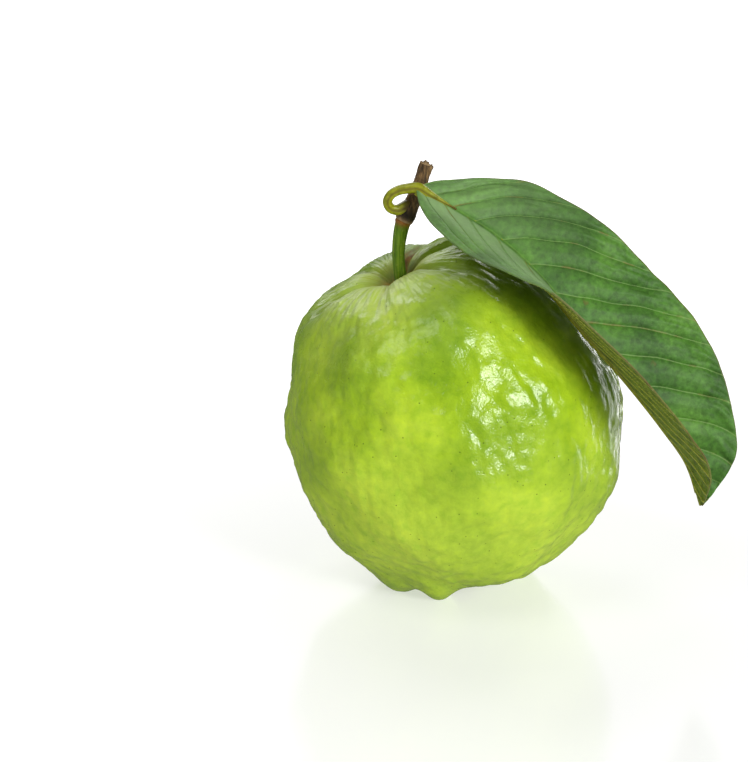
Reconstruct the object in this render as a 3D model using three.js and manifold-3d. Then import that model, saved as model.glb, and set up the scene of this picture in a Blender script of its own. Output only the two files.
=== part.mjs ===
// A whole guava as it was picked: the knobbly round fruit, its green stalk, the stub of
// woody twig above it, and one leaf on a curled leaf stalk, folded along its midrib.
// It stands on three low swellings round its blossom end, where the dried calyx sits.
// Millimetres, +Z up. The stem end leans towards -X and the leaf hangs over the +X side.
import * as THREE from 'three';
import Module from 'manifold-3d';
import { mergeVertices } from 'three/addons/utils/BufferGeometryUtils.js';

const wasm = await Module();
wasm.setup();

// Gap kept between two pieces that touch on the real plant
const GAP = 0.3;

// Fruit: a ball drawn out by its shoulder and feet, and drawn in at both ends.
// Polar angles are degrees from the stem end, azimuths are degrees from +X towards +Y.
const FRUIT_RADIUS = 45;
const FRUIT_CENTRE_HEIGHT = 45.5;
const STEM_LEAN = 21.5;
const SHOULDER = { height: 4.1, tilt: 1.2, towards: 50, polar: 33, spread: 21 };
const STEM_CAVITY = { depth: 6, spread: 8, wider: 1, towards: 180 };
const BLOSSOM_BASIN = { depth: 6, spread: 13 };
const CREASES = [
  { azimuth: 60, strength: 1.0 },
  { azimuth: 14, strength: 0.9 },
  { azimuth: -42, strength: 0.5 },
  { azimuth: -105, strength: 0.3 },
  { azimuth: -178, strength: 0.8 },
  { azimuth: 128, strength: 0.4 },
];
const CREASE = { depth: 2.2, width: 8, polar: 17, fade: 15 };
const VALLEY = { depth: 1.1, width: 20, fade: 26 };
const SWELLINGS = [
  { azimuth: -108, fromBase: 12.5, height: 4.9 },
  { azimuth: 14, fromBase: 20, height: 6.5 },
  { azimuth: 139, fromBase: 18, height: 4.9 },
  { azimuth: -150, fromBase: 20, height: 3.9 },
  { azimuth: 75, fromBase: 24, height: 2.0 },
];
const SWELLING = { width: 17, inner: 5.5, outer: 15 };
const DENTS = { count: 7, height: 0.3, waves: 7.5, finer: 0.13, turn: 2.4, phase: 1.7 };
// The skin is plain at its two ends: creases start here, and dents between these angles
const CREASE_START = 8;
const DENTS_START = { from: 8, full: 40 };
const FRUIT_MESH = { round: 72, rings: 44 };

// Calyx: a dried button with five small sepals, let into the blossom basin
const BUTTON = { radius: 4.2, thickness: 1.5, underside: 4.6 };
const SEPALS = { count: 5, reach: 5.8, low: 2.6, root: 3.2, thickness: 0.7, sharpness: 1.5 };

// Fruit stalk, twig and leaf stalk: centre lines from root to tip, from the fruit's axis
const STALK_ROUTE = [
  [-12.6, 0, 77.6], [-14.4, 0, 84], [-15.2, 0, 91.6], [-14.6, -0.2, 97.6], [-13.7, -0.3, 101.3],
];
const STALK_RADIUS = { root: 2.1, middle: 1.6, top: 2.0, flare: 0.28 };
const TWIG_ROUTE = [
  [-13.9, -0.3, 100.5], [-12.6, -0.3, 103.2], [-10.9, 0, 107.2], [-9.3, 0.2, 111.2], [-7.9, 0.4, 115.4],
];
const TWIG_RADIUS = { knot: 2.6, shaft: 1.85, knotAt: 0.12, knotSpread: 0.17 };
const TWIG_END = { splinter: 0.8, pith: 1.0 };
const LEAF_STALK_ROUTE = [
  [-14.1, -1.2, 104.0], [-15.6, -1.6, 103.6], [-17.4, -2.1, 104.3], [-18.1, -2.8, 106.2],
  [-17.2, -3.3, 108.1], [-15.4, -3.7, 109.3], [-13.1, -4.1, 109.9],
];
const LEAF_STALK_RADIUS = 1.4;
const SIDES = { stalk: 16, twig: 16, leafStalk: 12, midrib: 8, crown: 60, pit: 40 };
const STEPS = { stalk: 12, twig: 14, leafStalk: 22, midrib: 36 };

// Leaf: the midrib, then the half widths and the fold, set out along it from base to tip
const MIDRIB_ROUTE = [
  [-10.3, -4.5, 110.2], [9.2, -9.7, 99.6], [21.6, -15.5, 89.4], [32.2, -20.4, 77.0],
  [43.3, -22.3, 64.2], [53.6, -22.6, 50.7], [59.9, -22.4, 41.1], [63.5, -22.9, 30.0],
];
const MIDRIB_RADIUS = { base: 1.2, tip: 0.4 };
const MIDRIB_POINTS = { count: 24, until: 0.97 };
const LEAF = { halfWidth: 26, least: 0.7, thickness: 0.8, widest: 1.233, baseCurve: 0.5, tipCurve: 0.6 };
const DRIP_TIP = { from: 0.91, narrowing: 0.3 };
// The fold is measured in degrees from this level direction, which looks out from the fruit
const LEAF_OUTLOOK = new THREE.Vector3(0, -0.951, 0.309);
const FOLD_STATIONS = [0, 0.05, 0.1, 0.2, 0.3, 0.4, 0.52, 0.7, 0.85, 1];
const UPPER_HALF_TURN = [38, 34, 27, 17, 14, 16, 19, 11, 2, -4];
const LOWER_HALF_TURN = [50, 50, 43, 32, 19, 5, -2, -6, -10, -18];
const FOLD_ROUNDING = 0.06;
const PLEATS = { height: 0.5, spacing: 11.3, sweep: 0.85, from: 0.05, full: 0.4, fade: 0.85 };
const LEAF_MESH = { across: 14, along: 52 };
// How far apart the surface is read either side of a point, to know which way it faces
const LEAF_READING = 0.004;

const degrees = THREE.MathUtils.degToRad;
const { clamp, lerp, smoothstep } = THREE.MathUtils;

// 1 at nothing, falling away on both sides within about the spread
function bell(distance, spread) {
  return Math.exp(-((distance / spread) ** 2));
}

// The smaller angle between two azimuths, in degrees
function azimuthGap(first, second) {
  return Math.abs(THREE.MathUtils.euclideanModulo(first - second + 180, 360) - 180);
}

// Reads a row of values given at rising stations, on a smooth curve through all of them
function along(stations, values, at) {
  const last = stations.length - 1;
  const slope = (i) => {
    const [before, after] = [Math.max(i - 1, 0), Math.min(i + 1, last)];
    return (values[after] - values[before]) / (stations[after] - stations[before]);
  };
  let next = 1;
  while (next < last && stations[next] < at) next += 1;
  const step = stations[next] - stations[next - 1];
  const share = clamp((at - stations[next - 1]) / step, 0, 1);
  const ease = smoothstep(share, 0, 1);
  const leave = share * (1 - share) ** 2 * step * slope(next - 1);
  const arrive = share ** 2 * (1 - share) * step * slope(next);
  return lerp(values[next - 1], values[next], ease) + leave - arrive;
}

function curveThrough(points) {
  return new THREE.CatmullRomCurve3(points.map((point) => new THREE.Vector3(...point)));
}

// A closed three.js geometry with its seams and caps joined, ready to be bent into shape
function seamless(geometry) {
  geometry.deleteAttribute('normal');
  geometry.deleteAttribute('uv');
  return mergeVertices(geometry, 1e-4);
}

// A seamless geometry as a solid that can be joined and cut
function solidOf(geometry) {
  return new wasm.Manifold(new wasm.Mesh({
    numProp: 3,
    vertProperties: new Float32Array(geometry.attributes.position.array),
    triVerts: new Uint32Array(geometry.index.array),
  }));
}

function geometryOf(solid) {
  const mesh = solid.getMesh();
  const geometry = new THREE.BufferGeometry();
  geometry.setAttribute('position', new THREE.BufferAttribute(mesh.vertProperties, 3));
  geometry.setIndex(new THREE.BufferAttribute(mesh.triVerts, 1));
  geometry.computeVertexNormals();
  return geometry;
}

// A round rod bent along a curve. radiusAt takes the share of its length, extra thickens
// and lengthens it all round, and endShift moves the points of its far end along it.
function bentRod({ route, radiusAt, sides, steps, extra = 0, endShift = () => 0 }) {
  const rod = seamless(new THREE.CylinderGeometry(1, 1, 1, sides, steps));
  const frames = route.computeFrenetFrames(steps);
  const places = rod.attributes.position;
  const point = new THREE.Vector3();
  for (let i = 0; i < places.count; i += 1) {
    point.fromBufferAttribute(places, i);
    const step = Math.round((point.y + 0.5) * steps);
    const radius = radiusAt(step / steps) + extra;
    const onRim = Math.hypot(point.x, point.z) > 0.5;
    let shift = 0;
    if (step === 0) shift = -extra;
    if (step === steps) shift = extra + endShift(Math.atan2(point.z, point.x), onRim);
    const place = route.getPointAt(step / steps);
    place.addScaledVector(frames.normals[step], point.x * radius);
    place.addScaledVector(frames.binormals[step], -point.z * radius);
    place.addScaledVector(frames.tangents[step], shift);
    places.setXYZ(i, place.x, place.y, place.z);
  }
  return rod;
}

// How far the skin stands from the fruit's centre, in one direction
function fruitRadius(polar, azimuth, direction) {
  const fromBase = 180 - polar;
  let radius = FRUIT_RADIUS;
  const open = smoothstep(polar, 0, CREASE_START);
  const tilt = open * SHOULDER.tilt * Math.cos(degrees(azimuth - SHOULDER.towards));
  radius += (SHOULDER.height + tilt) * bell(polar - SHOULDER.polar, SHOULDER.spread);
  const wider = STEM_CAVITY.wider * Math.cos(degrees(azimuth - STEM_CAVITY.towards));
  radius -= STEM_CAVITY.depth * bell(polar, STEM_CAVITY.spread + wider);
  radius -= BLOSSOM_BASIN.depth * bell(fromBase, BLOSSOM_BASIN.spread);
  for (const crease of CREASES) {
    const gap = azimuthGap(azimuth, crease.azimuth);
    const sharp = CREASE.depth * bell(gap, CREASE.width) * bell(polar - CREASE.polar, CREASE.fade);
    const broad = VALLEY.depth * bell(gap, VALLEY.width) * bell(polar - CREASE.polar, VALLEY.fade);
    radius -= open * crease.strength * (sharp + broad);
  }
  for (const swelling of SWELLINGS) {
    const rise = fromBase - swelling.fromBase;
    const spread = rise > 0 ? SWELLING.outer : SWELLING.inner;
    const gap = azimuthGap(azimuth, swelling.azimuth);
    radius += swelling.height * bell(gap, SWELLING.width) * bell(rise, spread);
  }
  const dented = smoothstep(Math.min(polar, fromBase), DENTS_START.from, DENTS_START.full);
  return radius + dented * dents(direction);
}

// Shallow dents and rises all over the skin, as a sum of waves that cross it each way
function dents(direction) {
  let height = 0;
  for (let i = 0; i < DENTS.count; i += 1) {
    const turn = i * DENTS.turn;
    const lift = (2 * i + 1) / DENTS.count - 1;
    const flat = Math.sqrt(1 - lift * lift);
    const crossing = direction.x * flat * Math.cos(turn)
      + direction.y * flat * Math.sin(turn) + direction.z * lift;
    const waves = DENTS.waves * (1 + DENTS.finer * i);
    height += DENTS.height * Math.sin(waves * crossing + DENTS.phase * i);
  }
  return height;
}

// The place of the skin at a polar angle and an azimuth, with the stem end leaned over
function fruitSkin(polar, azimuth) {
  const level = Math.sin(degrees(polar));
  const turn = degrees(azimuth);
  const height = Math.cos(degrees(polar));
  const direction = new THREE.Vector3(level * Math.cos(turn), level * Math.sin(turn), height);
  const place = direction.clone().multiplyScalar(fruitRadius(polar, azimuth, direction));
  const lean = -degrees(STEM_LEAN) * Math.cos(degrees(polar) / 2) ** 2;
  place.applyAxisAngle(new THREE.Vector3(0, 1, 0), lean);
  place.z = Math.max(0, place.z + FRUIT_CENTRE_HEIGHT);
  return place;
}

function fruitSolid() {
  const ball = seamless(new THREE.SphereGeometry(1, FRUIT_MESH.round, FRUIT_MESH.rings));
  const places = ball.attributes.position;
  for (let i = 0; i < places.count; i += 1) {
    const polar = THREE.MathUtils.radToDeg(Math.acos(clamp(places.getY(i), -1, 1)));
    const azimuth = THREE.MathUtils.radToDeg(Math.atan2(-places.getZ(i), places.getX(i)));
    const place = fruitSkin(polar, azimuth);
    places.setXYZ(i, place.x, place.y, place.z);
  }
  return solidOf(ball);
}

// The button and its sepals are one dried crown, whose rim reaches out in five points
function calyxGeometry() {
  const { radius, thickness, underside } = BUTTON;
  const outline = new THREE.Shape();
  outline.moveTo(0, underside).lineTo(SEPALS.root, underside).lineTo(radius, underside);
  outline.lineTo(radius, underside + SEPALS.thickness).lineTo(radius, underside + thickness);
  outline.lineTo(0, underside + thickness);
  const crown = seamless(new THREE.LatheGeometry(outline.getPoints(), SIDES.crown));
  crown.rotateX(Math.PI / 2);
  const places = crown.attributes.position;
  for (let i = 0; i < places.count; i += 1) {
    const [x, y, z] = [places.getX(i), places.getY(i), places.getZ(i)];
    const distance = Math.hypot(x, y);
    const onRim = distance > SEPALS.root + 0.1 && z < underside + 0.1;
    if (onRim) {
      const pointed = Math.abs(Math.cos(SEPALS.count / 2 * Math.atan2(y, x))) ** SEPALS.sharpness;
      const stretch = lerp(radius, SEPALS.reach, pointed) / distance;
      places.setXYZ(i, x * stretch, y * stretch, lerp(underside, SEPALS.low, pointed));
    }
  }
  return crown;
}

function calyxPit() {
  const height = BUTTON.underside + BUTTON.thickness + GAP;
  const radius = BUTTON.radius + GAP;
  const pit = seamless(new THREE.CylinderGeometry(radius, radius, height, SIDES.pit));
  pit.rotateX(Math.PI / 2);
  pit.translate(0, 0, height / 2);
  return solidOf(pit);
}

// A rod along the whole fruit stalk, thickened by the gap when it is used to cut a hole
function stalkRod(extra = 0) {
  const { root, middle, top, flare } = STALK_RADIUS;
  return solidOf(bentRod({
    route: curveThrough(STALK_ROUTE),
    radiusAt: (share) => middle
      + (root - middle) * bell(share, flare) + (top - middle) * bell(share - 1, flare),
    sides: SIDES.stalk,
    steps: STEPS.stalk,
    extra,
  }));
}

function twigRod() {
  const { knot, shaft, knotAt, knotSpread } = TWIG_RADIUS;
  return solidOf(bentRod({
    route: curveThrough(TWIG_ROUTE),
    radiusAt: (share) => shaft + (knot - shaft) * bell(share - knotAt, knotSpread),
    sides: SIDES.twig,
    steps: STEPS.twig,
    endShift: (angle, onRim) => (onRim
      ? TWIG_END.splinter * Math.sin(2 * angle + 0.6) * Math.cos(3 * angle) : -TWIG_END.pith),
  }));
}

function leafStalkRod(extra = 0) {
  return solidOf(bentRod({
    route: curveThrough([...LEAF_STALK_ROUTE, ...MIDRIB_ROUTE.slice(0, 1)]),
    radiusAt: () => LEAF_STALK_RADIUS,
    sides: SIDES.leafStalk,
    steps: STEPS.leafStalk,
    extra,
  }));
}

const midrib = curveThrough(MIDRIB_ROUTE);

function halfWidth(share) {
  const bulge = share ** LEAF.widest;
  const curve = bulge < 0.5 ? LEAF.baseCurve : LEAF.tipCurve;
  const narrowing = 1 - DRIP_TIP.narrowing * smoothstep(share, DRIP_TIP.from, 1);
  const width = LEAF.halfWidth * Math.max(Math.sin(Math.PI * bulge), 0) ** curve * narrowing;
  return Math.max(width, LEAF.least);
}

// The blade's middle surface. across runs from -1 on the lower half to 1 on the upper half
function leafSurface(share, across) {
  const place = midrib.getPointAt(share);
  const forward = midrib.getTangentAt(share);
  const outlook = LEAF_OUTLOOK.clone().addScaledVector(forward, -LEAF_OUTLOOK.dot(forward)).normalize();
  const spread = new THREE.Vector3().crossVectors(forward, outlook).normalize();
  if (spread.z < 0) spread.negate();
  const upperTurn = degrees(along(FOLD_STATIONS, UPPER_HALF_TURN, share));
  const lowerTurn = degrees(along(FOLD_STATIONS, LOWER_HALF_TURN, share));
  const upperHalf = spread.clone().multiplyScalar(Math.cos(upperTurn))
    .addScaledVector(outlook, -Math.sin(upperTurn));
  const lowerHalf = outlook.clone().multiplyScalar(Math.cos(lowerTurn))
    .addScaledVector(spread, -Math.sin(lowerTurn));
  const width = halfWidth(share);
  const rounded = Math.hypot(across, FOLD_ROUNDING);
  place.addScaledVector(upperHalf, width * (rounded + across - FOLD_ROUNDING) / 2);
  place.addScaledVector(lowerHalf, width * (rounded - across - FOLD_ROUNDING) / 2);
  return place;
}

function leafNormal(share, across) {
  const alongLeaf = leafSurface(Math.min(share + LEAF_READING, 1), across)
    .sub(leafSurface(Math.max(share - LEAF_READING, 0), across));
  const acrossLeaf = leafSurface(share, Math.min(across + LEAF_READING, 1))
    .sub(leafSurface(share, Math.max(across - LEAF_READING, -1)));
  return new THREE.Vector3().crossVectors(alongLeaf, acrossLeaf).normalize();
}

// The tissue bulges upwards between the side veins, which sweep forward from the midrib
function pleatHeight(share, across) {
  const outwards = Math.abs(across);
  const reach = halfWidth(share) * outwards;
  const onVein = (share * midrib.getLength() - PLEATS.sweep * reach) / PLEATS.spacing;
  const inside = smoothstep(outwards, PLEATS.from, PLEATS.full) * (1 - smoothstep(outwards, PLEATS.fade, 1));
  return PLEATS.height * (Math.sin(Math.PI * onVein) ** 2 - 0.5) * inside;
}

// Two like faces either side of the middle surface, closed round the margin
function bladeSolid() {
  const sheet = new THREE.PlaneGeometry(2, 1, LEAF_MESH.across, LEAF_MESH.along);
  const flat = sheet.attributes.position;
  const count = flat.count;
  const places = [];
  for (const side of [1, -1]) {
    for (let i = 0; i < count; i += 1) {
      const share = flat.getY(i) + 0.5;
      const across = flat.getX(i);
      const normal = leafNormal(share, across);
      const height = pleatHeight(share, across) + side * LEAF.thickness / 2;
      places.push(...leafSurface(share, across).addScaledVector(normal, height));
    }
  }
  const faces = [];
  const index = sheet.index.array;
  for (let i = 0; i < index.length; i += 3) {
    const [a, b, c] = index.slice(i, i + 3);
    faces.push(a, c, b, a + count, b + count, c + count);
  }
  for (const [a, b] of sheetBorder(LEAF_MESH.across, LEAF_MESH.along)) {
    faces.push(b, a, a + count, b, a + count, b + count);
  }
  const blade = new THREE.BufferGeometry();
  blade.setAttribute('position', new THREE.Float32BufferAttribute(places, 3));
  blade.setIndex(faces);
  return solidOf(blade);
}

// The edges round a plane's grid of points, each as a pair of point numbers in order
function sheetBorder(columns, rows) {
  const width = columns + 1;
  const loop = [];
  for (let i = 0; i < columns; i += 1) loop.push(i);
  for (let i = 0; i < rows; i += 1) loop.push(i * width + columns);
  for (let i = columns; i > 0; i -= 1) loop.push(rows * width + i);
  for (let i = rows; i > 0; i -= 1) loop.push(i * width);
  return loop.map((point, i) => [point, loop[(i + 1) % loop.length]]);
}

// The midrib stands out below the blade and thins towards the tip
function midribRod() {
  const below = MIDRIB_RADIUS.base / 2;
  const points = [];
  for (let i = 0; i <= MIDRIB_POINTS.count; i += 1) {
    const share = i / MIDRIB_POINTS.count * MIDRIB_POINTS.until;
    points.push(leafSurface(share, 0).addScaledVector(leafNormal(share, 0), -below * (1 - share)));
  }
  return solidOf(bentRod({
    route: new THREE.CatmullRomCurve3(points),
    radiusAt: (share) => lerp(MIDRIB_RADIUS.base, MIDRIB_RADIUS.tip, share),
    sides: SIDES.midrib,
    steps: STEPS.midrib,
  }));
}

const FINISHES = {
  fruit: { color: '#9cc024', roughness: 0.34 },
  fruit_stalk: { color: '#3f5f0c', roughness: 0.5 },
  twig: { color: '#644b2c', roughness: 0.85 },
  leaf: { color: '#4d7431', roughness: 0.5 },
  calyx: { color: '#5e4526', roughness: 0.9 },
};

const guava = new THREE.Group();

function addPiece(name, solid) {
  const material = new THREE.MeshStandardMaterial({ ...FINISHES[name], metalness: 0 });
  const piece = new THREE.Mesh(geometryOf(solid), material);
  piece.name = name;
  guava.add(piece);
}

addPiece('fruit', fruitSolid().subtract(stalkRod(GAP)).subtract(calyxPit()));
addPiece('calyx', solidOf(calyxGeometry()));
addPiece('fruit_stalk', stalkRod());
addPiece('twig', twigRod().subtract(stalkRod(GAP)).subtract(leafStalkRod(GAP)));
addPiece('leaf', bladeSolid().add(midribRod()).add(leafStalkRod()));

// The origin goes to the middle of the outer box, on the table
const middle = new THREE.Box3().setFromObject(guava).getCenter(new THREE.Vector3());
guava.position.set(-middle.x, -middle.y, 0);

export default guava;
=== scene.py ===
# %% [markdown]
# # A whole guava with one leaf
# The solids of the fruit, its dried calyx, the stalk, the stub of twig and the leaf are already
# modelled and packed. They say where everything is and how large it is. This lesson dresses
# them: each solid gets a finer mesh of the same form and a finish worked out from what the real
# surface is. Blender measures in metres and a grower in millimetres, so each mesh is shaped in
# millimetres from the fruit's own axis, then scaled and placed once.

import math

import bmesh
import bpy
import numpy as np
from mathutils import Matrix, Vector, noise


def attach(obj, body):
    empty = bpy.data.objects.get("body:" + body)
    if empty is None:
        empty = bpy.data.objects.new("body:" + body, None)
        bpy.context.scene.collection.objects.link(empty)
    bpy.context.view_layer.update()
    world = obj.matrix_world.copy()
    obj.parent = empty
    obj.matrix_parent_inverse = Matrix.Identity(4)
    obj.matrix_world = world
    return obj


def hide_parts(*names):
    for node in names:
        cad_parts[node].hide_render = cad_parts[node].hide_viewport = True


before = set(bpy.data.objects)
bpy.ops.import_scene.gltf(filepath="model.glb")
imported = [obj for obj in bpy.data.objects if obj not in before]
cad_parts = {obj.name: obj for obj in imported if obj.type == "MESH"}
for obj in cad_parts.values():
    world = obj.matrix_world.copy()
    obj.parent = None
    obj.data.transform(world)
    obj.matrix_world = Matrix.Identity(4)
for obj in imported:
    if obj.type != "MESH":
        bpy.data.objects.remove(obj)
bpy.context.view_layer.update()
MM = 0.001
# The fruit's axis stands left of the box's middle, because the leaf reaches out to the right
FRUIT_AXIS = Vector((-13.51, 0.468, 0.0))

# %% [markdown]
# ## Camera
# A product photographer stands back and uses a long lens, so that a round fruit keeps its
# outline. The camera looks down by 18 degrees from 70 cm away through a 124 mm lens. Its aim is
# left of the fruit, which puts the fruit in the right half of the picture.

# %% Camera
AIM = (Vector((-21.6, 3.2, 55.4)) + FRUIT_AXIS) * MM
CAMERA_DISTANCE = 0.7
LOOK_DOWN = math.radians(18)

camera_data = bpy.data.cameras.new("camera")
camera_data.lens = 124
camera_data.sensor_width = 36
camera = bpy.data.objects.new("camera", camera_data)
bpy.context.scene.collection.objects.link(camera)
back = Vector((0, -math.cos(LOOK_DOWN), math.sin(LOOK_DOWN)))
camera.location = AIM + back * CAMERA_DISTANCE
camera.rotation_euler = (-back).to_track_quat("-Z", "Y").to_euler()
bpy.context.scene.camera = camera
print("Camera at", [round(c, 3) for c in camera.location])

# %% [markdown]
# ## Shaping by formula
# Nothing on a plant is straight or round, so every piece starts as a plain bmesh shape and its
# points are then moved by a formula. Sculpting by hand would do as well, but a formula can be
# read, measured and changed. Four small functions serve all pieces: a bell for swellings and
# hollows, a smooth step for fading things in and out, directions of length 1, and noise for
# what grew at random.

# %% Bells, steps, directions and noise
def bell(distance, spread):
    """1 at nothing, falling away on both sides within about the spread."""
    return np.exp(-((distance / spread) ** 2))


def ease(value, low, high):
    """0 below low, 1 above high, and smooth between them."""
    share = np.clip((value - low) / (high - low), 0, 1)
    return share * share * (3 - 2 * share)


def unit(vectors):
    """The same directions with length 1."""
    return vectors / np.linalg.norm(vectors, axis=-1, keepdims=True)


def grown(points, size, octaves=1, shift=0.0):
    """Random smooth heights of about -1 to 1. size is the distance from rise to rise."""
    offset = Vector((shift, 0.37 * shift, -0.61 * shift))
    scale = 1 / size
    return np.array([
        noise.fractal(Vector(p) * scale + offset, 1.0, 2.0, octaves, noise_basis="PERLIN_ORIGINAL")
        for p in points
    ])


# %% [markdown]
# A second pair of functions takes a bmesh to a finished piece. The points are handed over as
# one numpy array, because moving a hundred thousand of them one by one is slow. The piece's
# object stays at the origin, and its place is in its mesh, as with the solids.

# %% From a bmesh to a piece
def points_of(mesh):
    places = np.empty(len(mesh.vertices) * 3)
    mesh.vertices.foreach_get("co", places)
    return places.reshape(-1, 3)


def start_mesh(name, bm):
    mesh = bpy.data.meshes.new(name)
    bm.to_mesh(mesh)
    bm.free()
    return mesh


def finish_piece(mesh, places, nodes, materials, marks=None):
    """Puts the points, given in millimetres from the fruit's axis, in place as a piece."""
    mesh.vertices.foreach_set("co", np.ascontiguousarray(places, dtype=float).ravel())
    mesh.transform(Matrix.Scale(MM, 4) @ Matrix.Translation(FRUIT_AXIS))
    for name, values in (marks or {}).items():
        flat = np.ascontiguousarray(values, dtype=np.float32)
        kind, field = ("FLOAT", "value") if flat.ndim == 1 else ("FLOAT_VECTOR", "vector")
        mesh.attributes.new(name, kind, "POINT").data.foreach_set(field, flat.ravel())
    mesh.shade_smooth()
    for material in materials:
        mesh.materials.append(material)
    mesh.update()
    piece = bpy.data.objects.new(mesh.name, mesh)
    bpy.context.scene.collection.objects.link(piece)
    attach(piece, "root")
    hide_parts(*nodes)
    print(mesh.name, "has", len(mesh.polygons), "faces")
    return piece


# %% [markdown]
# ## Nodes and colours
# Colours are picked from a colour chart as sRGB hex values, while shaders work with
# linear light, so one function turns the first into the second. One more function adds any
# node with its settings and links, which keeps each material short enough to read. A pattern's
# size is given in millimetres, and every pattern is laid out by the place on the object.

# %% Nodes and colours
def linear(hex_colour):
    parts = [int(hex_colour[i:i + 2], 16) / 255 for i in (1, 3, 5)]
    return [*(p / 12.92 if p <= 0.04045 else ((p + 0.055) / 1.055) ** 2.4 for p in parts), 1.0]


def add(tree, kind, inputs=None, stops=None, **settings):
    """Adds a node. An input is a value or another node's output. Returns its outputs."""
    node = tree.nodes.new(kind)
    for name, value in settings.items():
        setattr(node, name, value)
    for key, value in (inputs or {}).items():
        if isinstance(value, bpy.types.NodeSocket):
            tree.links.new(value, node.inputs[key])
        else:
            node.inputs[key].default_value = value
    if stops:
        ramp = node.color_ramp.elements
        while len(ramp) < len(stops):
            ramp.new(0.5)
        for element, (position, hex_colour) in zip(ramp, stops):
            element.position = position
            element.color = linear(hex_colour)
    return node.outputs


def rises(size_in_mm):
    """A pattern's Scale: how many of its rises or cells of this size fit in a metre."""
    return 1 / (size_in_mm * MM)


def new_material(name):
    """Returns an empty material, its node tree, and each point's place on its object."""
    material = bpy.data.materials.new(name)
    material.use_nodes = True
    tree = material.node_tree
    tree.nodes.clear()
    print("Finish:", name)
    return material, tree, add(tree, "ShaderNodeTexCoord")["Object"]
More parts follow.
